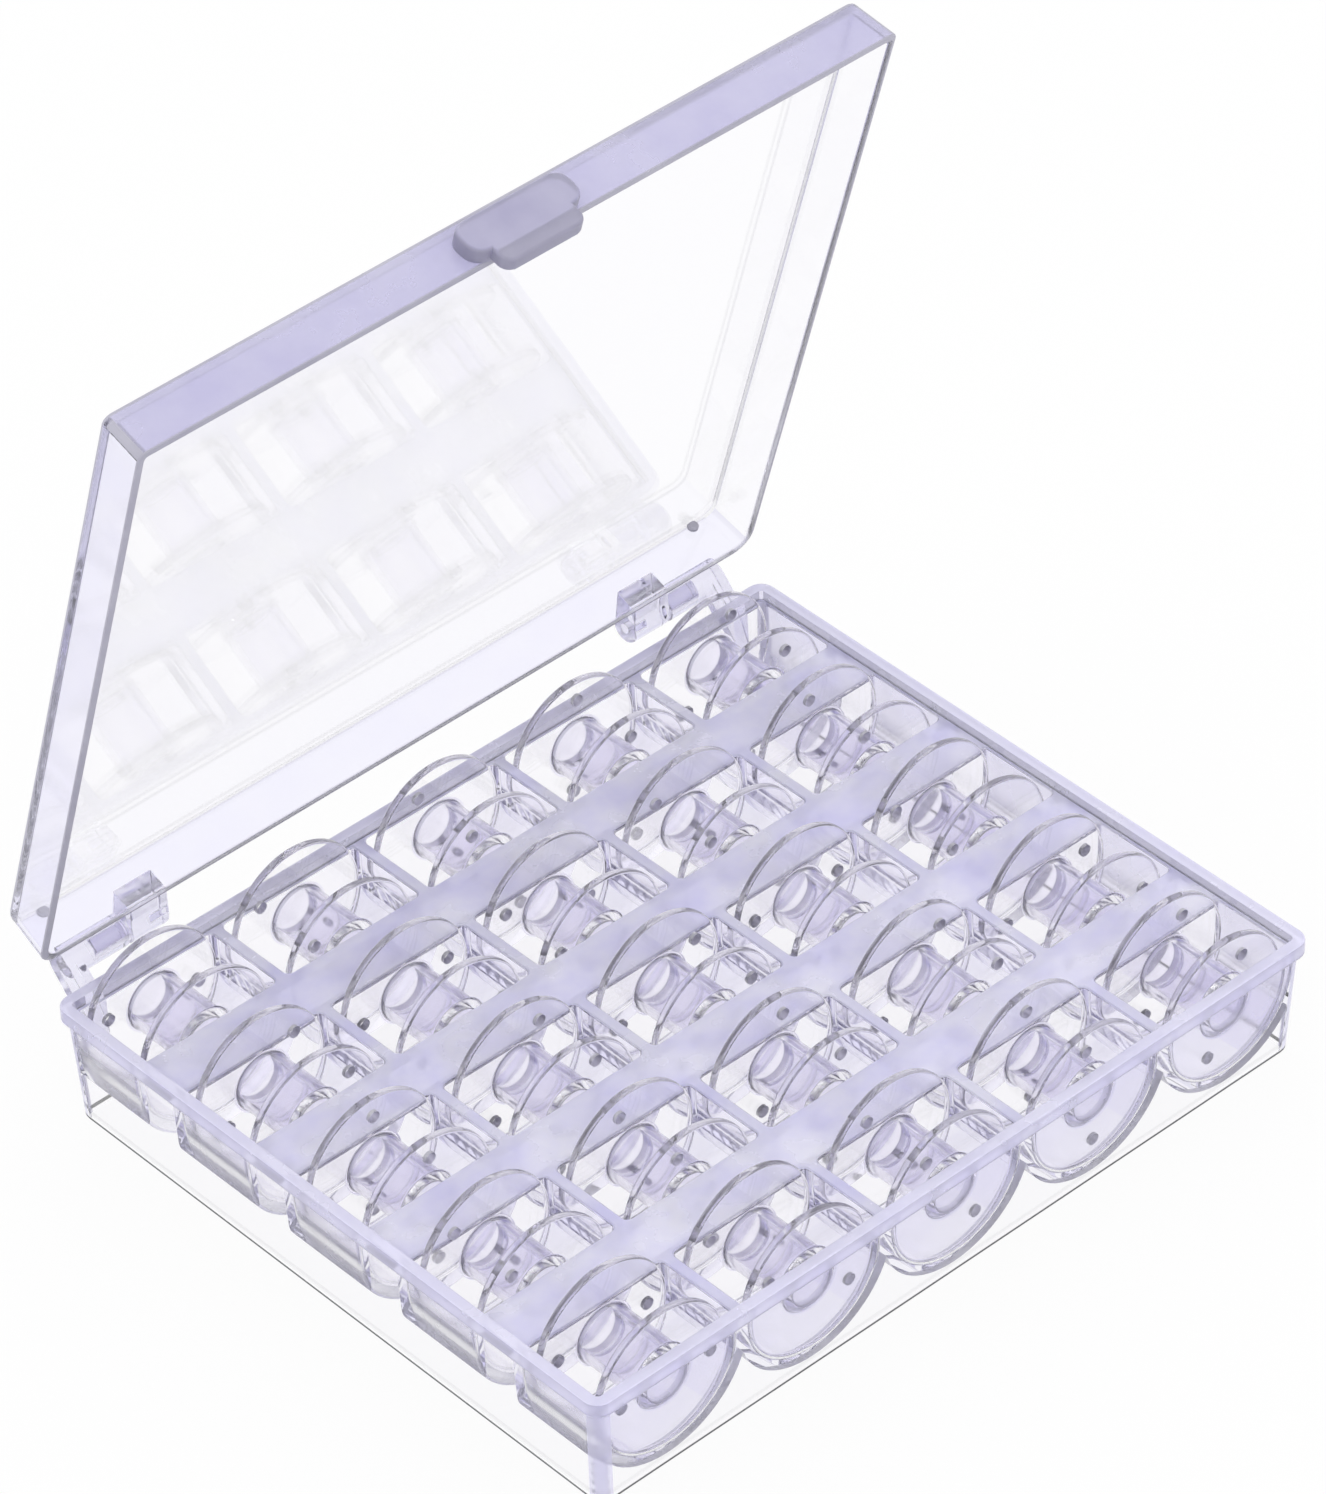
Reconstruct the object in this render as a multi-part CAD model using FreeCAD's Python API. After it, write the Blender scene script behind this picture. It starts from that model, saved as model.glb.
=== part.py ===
import FreeCAD, Part
import math
import os

# Bobbin box: a clear moulded tray of round-bottomed cups, a hinged lid with a snap
# latch, and one sewing-machine bobbin standing on edge in every cup.
# Millimetres. The origin is on the table under the middle of the tray. +X runs along
# the hinge, -Y points to the latch side and +Z is up. The lid is stored open.

# Bobbins
bobbin_radius = 10.25
bobbin_width = 11.4
flange_thickness = 1.1
hub_radius = 4.1
hub_wall = 1.05
thread_holes = 2
thread_hole_radius = 0.85
bobbin_seat_gap = 0.15
turn_per_row = 47.0
turn_per_column = 29.0

# Cups and the deck that joins them
columns = 5
rows = 5
cup_side_clearance = 0.7
cup_end_clearance = 0.75
cup_end_draft = 1.2
cup_straight_height = 2.95
cup_wall = 1.4
cup_above_table = 1.2
divider_thickness = 1.8
row_gap = 7.9
deck_thickness = 1.3

# Skirt, rim and lip around the cups
rim_above_deck = 1.5
rim_ledge = 0.3
rim_wall = 1.65
rim_corner = 2.2
rim_edge_radius = 0.3
lip_height = 2.2
lip_overhang = 0.7
skirt_inset_at_foot = 0.8
skirt_wall = 1.2
skirt_corner = 2.0
inner_corner = 0.6

# Lid
lid_head_clearance = 1.05
lid_seat_gap = 0.1
lid_taper = 0.55
lid_wall = 1.2
lid_plate = 1.2
lid_rear_corner = 3.0
lid_front_corner = 1.2
lid_edge_radius = 0.7
lid_open_angle = 73.4
nub_radius = 0.8
nub_height = 0.4
nub_from_end = 5.6
nub_below_top = 1.7

# Hinges, one near each end of the rear wall
pivot_behind_rim = 4.0
pivot_above_rim = 0.9
knuckle_radius = 2.15
hinge_from_end = 4.5
barrel_length = 9.8
ear_thickness = 2.4
ear_root_height = 6.0
ear_below_rim = 1.8
hinge_side_gap = 0.4
arm_width = 6.0
arm_root_height = 3.6
arm_above_rim = 0.15
pin_radius = 1.0
pin_length = 5.4
pin_clearance = 0.06
pin_end_gap = 0.3
core_hole_radius = 0.7
core_hole_depth = 2.6

# Latch in the middle of the lid's front wall
pad_width = 17.6
pad_height = 5.4
pad_thickness = 2.2
pad_corner = 2.2
tongue_width = 12.9
tongue_corner = 1.6
tongue_below_lip = 0.6
tongue_gap = 0.35
catch_radius = 0.28
catch_width = 10.0
catch_slack = 0.04

# Sizes and places that follow from those above
bore_radius = hub_radius - hub_wall
thread_hole_circle = (hub_radius + bobbin_radius) / 2
cup_radius = bobbin_radius + cup_side_clearance
cup_length = bobbin_width + 2 * cup_end_clearance
column_pitch = 2 * cup_radius + divider_thickness
row_pitch = cup_length + row_gap
cup_floor = cup_above_table + cup_wall
cup_axis_height = cup_floor + cup_radius
deck_top = cup_axis_height + cup_straight_height
bobbin_axis_height = cup_floor + bobbin_seat_gap + bobbin_radius
bobbin_top = bobbin_axis_height + bobbin_radius
rim_height = deck_top + rim_above_deck
lip_bottom = rim_height - lip_height
recess_length = columns * column_pitch - divider_thickness + 2 * rim_ledge
recess_width = rows * row_pitch - row_gap + 2 * rim_ledge
rim_length = recess_length + 2 * rim_wall
rim_width = recess_width + 2 * rim_wall
lid_rim = rim_height + lid_seat_gap
lid_top = bobbin_top + lid_head_clearance + lid_plate
pivot_y = rim_width / 2 + pivot_behind_rim
pivot_z = rim_height + pivot_above_rim
barrel_outer = rim_length / 2 - hinge_from_end
barrel_inner = barrel_outer - barrel_length
arm_outer = barrel_inner - hinge_side_gap
arm_inner = arm_outer - arm_width

vector = FreeCAD.Vector


def rounded_rectangle(length, width, front_radius, rear_radius, height):
    """A closed wire with rounded corners, centred on the Z axis at the given height."""
    corners = (
        (1, -1, front_radius),
        (1, 1, rear_radius),
        (-1, 1, rear_radius),
        (-1, -1, front_radius),
    )
    arcs = []
    for index, (side_x, side_y, radius) in enumerate(corners):
        centre_x = side_x * (length / 2 - radius)
        centre_y = side_y * (width / 2 - radius)
        points = []
        for step in range(3):
            angle = math.radians(-90 + 90 * index + 45 * step)
            x = centre_x + radius * math.cos(angle)
            y = centre_y + radius * math.sin(angle)
            points.append(vector(x, y, height))
        arcs.append(points)
    edges = []
    for index, points in enumerate(arcs):
        edges.append(Part.Arc(*points).toShape())
        edges.append(Part.makeLine(points[2], arcs[(index + 1) % 4][0]))
    return Part.Wire(edges)


def prism(wire, travel):
    """A solid made by moving a flat closed wire along a vector."""
    return Part.Face(wire).extrude(travel)


def polygon_along_x(points, start, length):
    """A solid with a flat outline of (y, z) points, running along X from start."""
    corners = [vector(start, y, z) for y, z in points]
    return prism(Part.makePolygon(corners + corners[:1]), vector(length, 0, 0))


def cylinder_along_x(radius, y, z, start, length):
    return Part.makeCylinder(radius, length, vector(start, y, z), vector(1, 0, 0))


def tangent_point(point, centre, radius, side):
    """Where a line from an outside point touches a circle, on the chosen side."""
    away_y = point[0] - centre[0]
    away_z = point[1] - centre[1]
    swing = side * math.acos(radius / math.hypot(away_y, away_z))
    angle = math.atan2(away_z, away_y) + swing
    return (centre[0] + radius * math.cos(angle), centre[1] + radius * math.sin(angle))


def mirrored_pair(solid):
    """The solid and its twin on the other side of the YZ plane."""
    return [solid, solid.mirror(vector(0, 0, 0), vector(1, 0, 0))]


def round_top_edges(solid, radius):
    """Fillet the edges that lie wholly in the upper half of a solid."""
    middle = (solid.BoundBox.ZMin + solid.BoundBox.ZMax) / 2
    return solid.makeFillet(radius, [edge for edge in solid.Edges if edge.BoundBox.ZMin > middle])


def skirt_block(bottom, top, inset, corner):
    """The tapered body of the tray between two heights, drawn in by an inset."""
    outlines = []
    for height in (bottom, top):
        drawn_in = lip_overhang + skirt_inset_at_foot * (1 - height / lip_bottom) + inset
        length = rim_length - 2 * drawn_in
        width = rim_width - 2 * drawn_in
        outlines.append(rounded_rectangle(length, width, corner, corner, height))
    return Part.makeLoft(outlines, True, True)


def cup_block(radius, half_length, top):
    """A round-bottomed block along Y with drafted ends, centred on X and Y.

    half_length is measured at the deck and the ends lean in towards the floor."""
    floor = cup_axis_height - radius
    start = -2 * half_length
    left_top = vector(-radius, start, top)
    left = vector(-radius, start, cup_axis_height)
    lowest = vector(0, start, floor)
    right = vector(radius, start, cup_axis_height)
    right_top = vector(radius, start, top)
    outline = Part.Wire([
        Part.makeLine(left_top, left),
        Part.Arc(left, lowest, right).toShape(),
        Part.makeLine(right, right_top),
        Part.makeLine(right_top, left_top),
    ])
    trough = prism(outline, vector(0, 4 * half_length, 0))
    lean = math.tan(math.radians(cup_end_draft))
    low_half = half_length - (deck_top - floor) * lean
    top_half = half_length + (top - deck_top) * lean
    ends = [(-low_half, floor), (low_half, floor), (top_half, top), (-top_half, top)]
    return trough.common(polygon_along_x(ends, -2 * radius, 4 * radius))


def cup_places():
    """The middle of each cup, row by row from the latch side, left to right."""
    for row in range(rows):
        for column in range(columns):
            x = (column - (columns - 1) / 2) * column_pitch
            y = (row - (rows - 1) / 2) * row_pitch
            yield row, column, x, y


def copies_at_cups(solid):
    placed = []
    for row, column, x, y in cup_places():
        copy = solid.copy()
        copy.translate(vector(x, y, 0))
        placed.append(copy)
    return placed


def hinge_ear():
    """One ear of the tray: a barrel for the lid's pin on a web that grows from the skirt."""
    centre = (pivot_y, pivot_z)
    root_y = rim_width / 2 - lip_overhang - skirt_wall / 2
    low_root = (root_y, lip_bottom - ear_root_height)
    high_root = (root_y, rim_height - ear_below_rim)
    web = [
        low_root,
        tangent_point(low_root, centre, knuckle_radius, 1),
        centre,
        tangent_point(high_root, centre, knuckle_radius, -1),
        high_root,
    ]
    barrel = cylinder_along_x(knuckle_radius, pivot_y, pivot_z, barrel_inner, barrel_length)
    return barrel.fuse(polygon_along_x(web, barrel_outer - ear_thickness, ear_thickness))


def pin_socket():
    depth = pin_length - hinge_side_gap + pin_end_gap
    radius = pin_radius + pin_clearance
    return cylinder_along_x(radius, pivot_y, pivot_z, barrel_inner, depth)


def make_tray():
    """Skirt, lip, deck and cups in one moulding, open underneath."""
    lip_outline = rounded_rectangle(rim_length, rim_width, rim_corner, rim_corner, lip_bottom)
    lip = round_top_edges(prism(lip_outline, vector(0, 0, lip_height)), rim_edge_radius)
    body = skirt_block(0, lip_bottom, 0, skirt_corner).fuse(lip)

    recess_outline = rounded_rectangle(
        recess_length, recess_width, inner_corner, inner_corner, deck_top
    )
    recess = prism(recess_outline, vector(0, 0, 2 * rim_above_deck))
    outer_cup = cup_block(cup_radius + cup_wall, cup_length / 2 + cup_wall, deck_top)
    cup_space = cup_block(cup_radius, cup_length / 2, rim_height + rim_above_deck)
    hollow = skirt_block(-skirt_wall, deck_top - deck_thickness, skirt_wall, inner_corner)
    hollow = hollow.cut(copies_at_cups(outer_cup))
    tray = body.cut([hollow, recess] + copies_at_cups(cup_space))
    tray = tray.fuse(mirrored_pair(hinge_ear()))
    return tray.cut(mirrored_pair(pin_socket())).removeSplitter()


def hinge_arm():
    """One arm of the lid: a knuckle on a short web, with the hinge pin on its outer side."""
    centre = (pivot_y, pivot_z)
    root_y = rim_width / 2 - lid_wall / 2
    low_root = (root_y, lid_rim + arm_above_rim)
    high_root = (root_y, lid_rim + arm_root_height)
    web = [
        low_root,
        tangent_point(low_root, centre, knuckle_radius, 1),
        centre,
        tangent_point(high_root, centre, knuckle_radius, -1),
        high_root,
    ]
    knuckle = cylinder_along_x(knuckle_radius, pivot_y, pivot_z, arm_inner, arm_width)
    pin_root = arm_outer - arm_width / 2
    pin = cylinder_along_x(pin_radius, pivot_y, pivot_z, pin_root, arm_width / 2 + pin_length)
    core_hole = cylinder_along_x(core_hole_radius, pivot_y, pivot_z, arm_inner, core_hole_depth)
    return knuckle.fuse([polygon_along_x(web, arm_inner, arm_width), pin]).cut(core_hole)


def upright_panel(width, bottom, top, corner, front, thickness):
    """A plate facing the latch side, with rounded corners, from its front face backwards."""
    outline = rounded_rectangle(width, top - bottom, corner, corner, 0)
    panel = prism(outline, vector(0, 0, thickness))
    panel.rotate(vector(0, 0, 0), vector(1, 0, 0), 90)
    panel.translate(vector(0, front + thickness, (bottom + top) / 2))
    return panel


def latch():
    """The finger pad, the tongue that reaches past the tray's lip, and its catch."""
    face = -rim_width / 2
    front = face - pad_thickness
    pad_top = lid_rim + pad_height
    pad = upright_panel(
        pad_width, lid_rim, pad_top, pad_corner, front, pad_thickness + lid_wall / 2
    )
    tongue_bottom = lip_bottom - tongue_below_lip
    tongue_top = lid_rim + pad_height / 2
    tongue = upright_panel(
        tongue_width, tongue_bottom, tongue_top, tongue_corner, front, pad_thickness - tongue_gap
    )
    catch_z = lip_bottom - catch_slack - catch_radius
    catch = cylinder_along_x(catch_radius, face - tongue_gap, catch_z, -catch_width / 2, catch_width)
    return pad.fuse([tongue, catch])


def make_lid():
    """A shallow tapered tray with latch and hinge arms, swung open about its pins."""
    shrink = 2 * lid_taper
    thick = 2 * lid_wall
    shell = Part.makeLoft([
        rounded_rectangle(rim_length, rim_width, lid_front_corner, lid_rear_corner, lid_rim),
        rounded_rectangle(
            rim_length - shrink, rim_width - shrink, lid_front_corner, lid_rear_corner, lid_top
        ),
    ], True, True)
    shell = round_top_edges(shell, lid_edge_radius)
    rear_corner = lid_rear_corner - lid_wall
    inside = Part.makeLoft([
        rounded_rectangle(
            rim_length - thick, rim_width - thick, inner_corner, rear_corner, lid_rim
        ),
        rounded_rectangle(
            rim_length - thick - shrink, rim_width - thick - shrink, inner_corner, rear_corner,
            lid_top - lid_plate,
        ),
    ], True, True)

    rear_wall_middle = rim_width / 2 - lid_taper - lid_wall / 2
    nub = Part.makeCylinder(
        nub_radius,
        lid_wall / 2 + nub_height,
        vector(rim_length / 2 - nub_from_end, rear_wall_middle, lid_top - nub_below_top),
        vector(0, -1, 0),
    )
    lid = shell.cut(inside)
    lid = lid.fuse([latch()] + mirrored_pair(hinge_arm()) + mirrored_pair(nub)).removeSplitter()
    lid.rotate(vector(0, pivot_y, pivot_z), vector(-1, 0, 0), lid_open_angle)
    return lid


def make_bobbin():
    """Two flanges on a hollow hub, axis along Y, centred on the origin."""
    half = bobbin_width / 2
    back = vector(0, 1, 0)
    hub = Part.makeCylinder(hub_radius, bobbin_width, vector(0, -half, 0), back)
    flanges = []
    for start in (-half, half - flange_thickness):
        flanges.append(Part.makeCylinder(bobbin_radius, flange_thickness, vector(0, start, 0), back))
    holes = [Part.makeCylinder(bore_radius, bobbin_width, vector(0, -half, 0), back)]
    for index in range(thread_holes):
        angle = 2 * math.pi * index / thread_holes
        x = thread_hole_circle * math.cos(angle)
        z = thread_hole_circle * math.sin(angle)
        holes.append(Part.makeCylinder(thread_hole_radius, bobbin_width, vector(x, -half, z), back))
    return hub.fuse(flanges).cut(holes).removeSplitter()


def placed_bobbin(bobbin, row, column, x, y):
    """A bobbin dropped into its cup, turned by an amount that differs from cup to cup."""
    turned = bobbin.copy()
    turn = turn_per_row * row + turn_per_column * column
    turned.rotate(vector(0, 0, 0), vector(0, 1, 0), turn)
    turned.translate(vector(x, y, bobbin_axis_height))
    return turned


os.makedirs("parts", exist_ok=True)
make_tray().exportStep("parts/base_tray.step")
make_lid().exportStep("parts/lid.step")
one_bobbin = make_bobbin()
for row, column, x, y in cup_places():
    name = f"bobbin_r{row + 1}_c{column + 1}"
    placed_bobbin(one_bobbin, row, column, x, y).exportStep(f"parts/{name}.step")
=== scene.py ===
# A clear, violet-tinted bobbin box with its lid open and a clear bobbin in every cup.
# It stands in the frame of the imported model, in metres; the sizes of its pieces are in millimetres.
import math

import bmesh
import bpy
from mathutils import Matrix, Vector


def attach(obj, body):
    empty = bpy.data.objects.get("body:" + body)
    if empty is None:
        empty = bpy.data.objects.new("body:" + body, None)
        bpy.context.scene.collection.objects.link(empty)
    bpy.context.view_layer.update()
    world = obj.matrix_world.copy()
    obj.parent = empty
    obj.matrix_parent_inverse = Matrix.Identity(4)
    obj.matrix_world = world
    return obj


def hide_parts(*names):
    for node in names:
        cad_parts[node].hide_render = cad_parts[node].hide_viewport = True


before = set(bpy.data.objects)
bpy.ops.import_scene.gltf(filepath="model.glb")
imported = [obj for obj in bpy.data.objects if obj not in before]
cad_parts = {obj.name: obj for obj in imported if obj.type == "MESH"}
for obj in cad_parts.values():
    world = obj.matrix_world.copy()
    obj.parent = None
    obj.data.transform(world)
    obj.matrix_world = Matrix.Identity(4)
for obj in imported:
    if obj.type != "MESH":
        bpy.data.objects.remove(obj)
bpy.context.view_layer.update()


# Tray
# One injection moulding of clear polystyrene: a tapered skirt with a lip, a deck of cups that
# merge into troughs underneath, and two ears at the rear with barrels for the pins of the lid.
mm = 0.001
rim_half_x = 60.3
rim_half_y = 50.0
rim_height = 18.0
rim_wall = 1.65
rim_corner = 2.2
lip_bottom = 15.8
lip_overhang = 0.7
foot_inset = 0.8
foot_strip = 0.5
skirt_wall = 1.2
skirt_corner = 2.0
inner_corner = 0.6
deck_top = 16.5
deck_bottom = 15.2
columns = 5
rows = 5
column_pitch = 23.7
row_pitch = 20.8
cup_radius = 10.95
cup_half_length = 6.45
cup_axis = 13.55
cup_wall = 1.4
cup_draft = math.tan(math.radians(1.2))
cup_soft_edge = 0.8
mouth_bevel = 0.25
trough_edge = 0.4
frosted_from = 3.5
overshoot = 2.0
# Small rounded edges, as pairs of a way up or down from the edge and a way in from the side.
foot_round = ((0.0, 0.2), (0.06, 0.06), (0.2, 0.0))
rim_round = ((0.3, 0.0), (0.15, 0.04), (0.04, 0.15), (0.0, 0.3))
recess_round = ((0.25, 0.0), (0.1, 0.05), (0.0, 0.25))


def rounded_loop(half_x, half_y, front, rear, steps=6):
    """Points (x, y) round a rectangle with rounded corners, counter-clockwise from front right."""
    loop = []
    corners = ((1, -1, front), (1, 1, rear), (-1, 1, rear), (-1, -1, front))
    for index, (side_x, side_y, radius) in enumerate(corners):
        for step in range(steps + 1):
            angle = math.radians(-90 + 90 * index + 90 * step / steps)
            x = side_x * (half_x - radius) + radius * math.cos(angle)
            y = side_y * (half_y - radius) + radius * math.sin(angle)
            loop.append((x, y))
    return loop


def quarter(steps):
    """Angles from 0 to 90 degrees in even steps."""
    return [math.radians(90 * step / steps) for step in range(steps + 1)]


def rounded_stops(edge, steps=4):
    """Pairs (distance from the end, amount taken off) round an edge, from the side to the end."""
    pairs = []
    for angle in quarter(steps):
        pairs.append((edge * (1 - math.sin(angle)), edge * (1 - math.cos(angle))))
    return pairs


def added(name, data):
    """A new object in the scene."""
    thing = bpy.data.objects.new(name, data)
    bpy.context.scene.collection.objects.link(thing)
    return thing


def solid_from(name, points, faces):
    """A mesh object from points in millimetres, with its faces turned outwards."""
    mesh = bpy.data.meshes.new(name)
    mesh.from_pydata([tuple(mm * value for value in point) for point in points], [], faces)
    shape = bmesh.new()
    shape.from_mesh(mesh)
    bmesh.ops.recalc_face_normals(shape, faces=shape.faces)
    shape.to_mesh(mesh)
    shape.free()
    return added(name, mesh)


def bands(rings):
    """Four-sided faces between each ring of points and the next."""
    count = len(rings[0])
    faces = []
    for lower in range(len(rings) - 1):
        for index in range(count):
            following = (index + 1) % count
            faces.append((
                lower * count + index, lower * count + following,
                (lower + 1) * count + following, (lower + 1) * count + index,
            ))
    return faces


def skin(name, rings):
    """A closed form through rings of equally many points, capped at both ends."""
    count = len(rings[0])
    points = [point for ring in rings for point in ring]
    faces = bands(rings) + [tuple(range(count)), tuple(range(len(points) - count, len(points)))]
    return solid_from(name, points, faces)


def keep_result(thing, modifier):
    """Keep what a modifier gives as the object's plain mesh, and take the modifier off."""
    bpy.context.view_layer.update()
    result = bpy.data.meshes.new_from_object(
        thing.evaluated_get(bpy.context.evaluated_depsgraph_get())
    )
    thing.modifiers.remove(modifier)
    thing.data = result


def merge(target, tool, operation):
    """Join or cut two closed forms, leaving the result in the first."""
    change = target.modifiers.new(operation, "BOOLEAN")
    change.operation = operation
    change.solver = "EXACT"
    change.object = tool
    keep_result(target, change)
    bpy.data.objects.remove(tool)


def as_one(things):
    """Objects that don't touch, put together in the first of them."""
    shape = bmesh.new()
    for thing in things:
        shape.from_mesh(thing.data)
    shape.to_mesh(things[0].data)
    shape.free()
    for thing in things[1:]:
        bpy.data.objects.remove(thing)
    return things[0]


def grown(thing, tree, **settings):
    """Let a node tree with the given settings grow an object, and keep the plain mesh."""
    growth = thing.modifiers.new(tree.name, "NODES")
    growth.node_group = tree
    for item in tree.interface.items_tree:
        if item.in_out == "INPUT" and item.name in settings:
            growth[item.identifier] = settings[item.name]
    keep_result(thing, growth)
    return thing


def new_tree(name, sockets):
    """A node tree with a geometry in and out and the named inputs, and its two ends."""
    tree = bpy.data.node_groups.new(name, "GeometryNodeTree")
    tree.interface.new_socket("Shape", in_out="INPUT", socket_type="NodeSocketGeometry")
    for socket, kind in sockets.items():
        tree.interface.new_socket(socket, in_out="INPUT", socket_type=kind)
    tree.interface.new_socket("Shape", in_out="OUTPUT", socket_type="NodeSocketGeometry")
    return tree, tree.nodes.new("NodeGroupInput"), tree.nodes.new("NodeGroupOutput")


def grid_tree():
    """Repeats a shape on a centred grid of columns along X and rows along Y."""
    tree, given, grid_out = new_tree("grid_of_cups", {
        "columns": "NodeSocketInt", "rows": "NodeSocketInt", "column_pitch": "NodeSocketFloat",
        "row_pitch": "NodeSocketFloat", "plastic": "NodeSocketMaterial",
    })
    grid = tree.nodes.new("GeometryNodeMeshGrid")
    for count, pitch, vertices, size in (
        ("columns", "column_pitch", "Vertices X", "Size X"),
        ("rows", "row_pitch", "Vertices Y", "Size Y"),
    ):
        gaps = tree.nodes.new("ShaderNodeMath")
        gaps.operation = "SUBTRACT"
        gaps.inputs[1].default_value = 1.0
        length = tree.nodes.new("ShaderNodeMath")
        length.operation = "MULTIPLY"
        tree.links.new(given.outputs[count], grid.inputs[vertices])
        tree.links.new(given.outputs[count], gaps.inputs[0])
        tree.links.new(gaps.outputs["Value"], length.inputs[0])
        tree.links.new(given.outputs[pitch], length.inputs[1])
        tree.links.new(length.outputs["Value"], grid.inputs[size])
    repeat = tree.nodes.new("GeometryNodeInstanceOnPoints")
    real = tree.nodes.new("GeometryNodeRealizeInstances")
    finish = tree.nodes.new("GeometryNodeSetMaterial")
    tree.links.new(grid.outputs["Mesh"], repeat.inputs["Points"])
    tree.links.new(given.outputs["Shape"], repeat.inputs["Instance"])
    tree.links.new(repeat.outputs["Instances"], real.inputs["Geometry"])
    tree.links.new(real.outputs["Geometry"], finish.inputs["Geometry"])
    tree.links.new(given.outputs["plastic"], finish.inputs["Material"])
    tree.links.new(finish.outputs["Geometry"], grid_out.inputs["Shape"])
    return tree


def drafted(y, z):
    """A place along a cup, drawn in towards its floor so that the cup leaves the mould."""
    return y * (1 - (deck_top - min(z, deck_top)) * cup_draft / cup_half_length)


def both_ends(stops):
    """The stops from a cup's middle to its end, for the front end (-1) and the rear end (1)."""
    return [(-1, stop) for stop in reversed(stops)] + [(1, stop) for stop in stops]


def cup_hollow():
    """The space inside one cup, with a bevel at its mouth and soft edges at its ends."""
    mouth_steps = 4
    floor_steps = 24
    end_steps = 6
    mouth = [(rim_height + overshoot, mouth_bevel), (deck_top, mouth_bevel)]
    for angle in quarter(mouth_steps)[1:]:
        mouth.append((
            deck_top - mouth_bevel * math.sin(angle), mouth_bevel * (1 - math.sin(angle)),
        ))
    rings = []
    for end, slope in both_ends(quarter(end_steps)):
        side = cup_radius - cup_soft_edge * (1 - math.cos(slope))
        along = cup_half_length - cup_soft_edge * (1 - math.sin(slope))
        half = []
        for z, flare in mouth:
            half.append((side + flare * math.cos(slope), along + flare * math.sin(slope), z))
        for turn in quarter(floor_steps):
            half.append((side * math.cos(turn), along, cup_axis - side * math.sin(turn)))
        ring = [(x, end * drafted(y, z), z) for x, y, z in half]
        ring += [(-x, end * drafted(y, z), z) for x, y, z in half[-2::-1]]
        rings.append(ring)
    count = len(rings[0])
    points = [point for ring in rings for point in ring]
    faces = bands(rings)
    for start in (0, len(points) - count):
        for index in range(count // 2 - 1):
            faces.append((
                start + index, start + index + 1,
                start + count - 2 - index, start + count - 1 - index,
            ))
        faces.append((start + count // 2 - 1, start + count // 2, start + count // 2 + 1))
    return solid_from("cup_hollow", points, faces)


def trough_bank():
    """The outsides of one row of cups, merged side by side where their walls meet."""
    arc_steps = 28
    half_length = cup_half_length + cup_wall
    stops = [(frosted_from, 0.0)]
    stops += [(half_length - short, taken) for short, taken in rounded_stops(trough_edge)]
    rings = []
    for end, (along, taken) in both_ends(stops):
        radius = cup_radius + cup_wall - taken
        cusp = math.acos(column_pitch / 2 / radius)
        outline = [(-(columns // 2) * column_pitch - radius, rim_height)]
        for column in range(columns):
            middle = (column - (columns - 1) / 2) * column_pitch
            first = 0 if column == 0 else cusp
            final = 0 if column == columns - 1 else cusp
            for step in range(arc_steps + 1):
                angle = math.pi + first + (math.pi - first - final) * step / arc_steps
                outline.append((
                    middle + radius * math.cos(angle), cup_axis + radius * math.sin(angle),
                ))
        outline.append(((columns // 2) * column_pitch + radius, rim_height))
        rings.append([(x, end * drafted(along, z), z) for x, z in outline])
    return skin("trough_bank", rings)


def skirt_ring(z, inset, corner=skirt_corner):
    """A ring of points round the tapered skirt."""
    drawn_in = lip_overhang + foot_inset * (1 - z / lip_bottom) + inset
    loop = rounded_loop(rim_half_x - drawn_in, rim_half_y - drawn_in, corner, corner)
    return [(x, y, z) for x, y in loop]


def rim_ring(z, inset):
    """A ring of points round the lip."""
    corner = rim_corner - inset
    loop = rounded_loop(rim_half_x - inset, rim_half_y - inset, corner, corner)
    return [(x, y, z) for x, y in loop]


def turned(radius, y, z, stops, segments=48):
    """A round bar along X: stops are (x, amount taken off the radius)."""
    rings = []
    for x, taken in stops:
        ring = []
        for step in range(segments):
            angle = 2 * math.pi * step / segments
            ring.append((
                x,
                y + (radius - taken) * math.cos(angle),
                z + (radius - taken) * math.sin(angle),
            ))
        rings.append(ring)
    return skin("turned", rings)


def soft_ends(start, end, edge):
    """Stops for a bar from start to end with rounded rims."""
    stops = rounded_stops(edge, steps=3)
    low = [(start + along, taken) for along, taken in reversed(stops)]
    high = [(end - along, taken) for along, taken in stops]
    return low + high


pivot_y = rim_half_y + 4.0
pivot_z = rim_height + 0.9
knuckle_radius = 2.15
knuckle_edge = 0.25
barrel_inner = 46.0
barrel_outer = 55.8


def web_outline(low_root, high_root, segments=16):
    """The side view of an ear or arm: two roots on a wall and a round end about the pivot."""
    angles = []
    for root, side in ((low_root, 1), (high_root, -1)):
        away_y, away_z = root[0] - pivot_y, root[1] - pivot_z
        angles.append(math.atan2(away_z, away_y)
                      + side * math.acos(knuckle_radius / math.hypot(away_y, away_z)))
    first, final = angles
    if final < first:
        final += 2 * math.pi
    outline = [low_root]
    for step in range(segments + 1):
        angle = first + (final - first) * step / segments
        outline.append((
            pivot_y + knuckle_radius * math.cos(angle),
            pivot_z + knuckle_radius * math.sin(angle),
        ))
    outline.append(high_root)
    return outline


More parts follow.
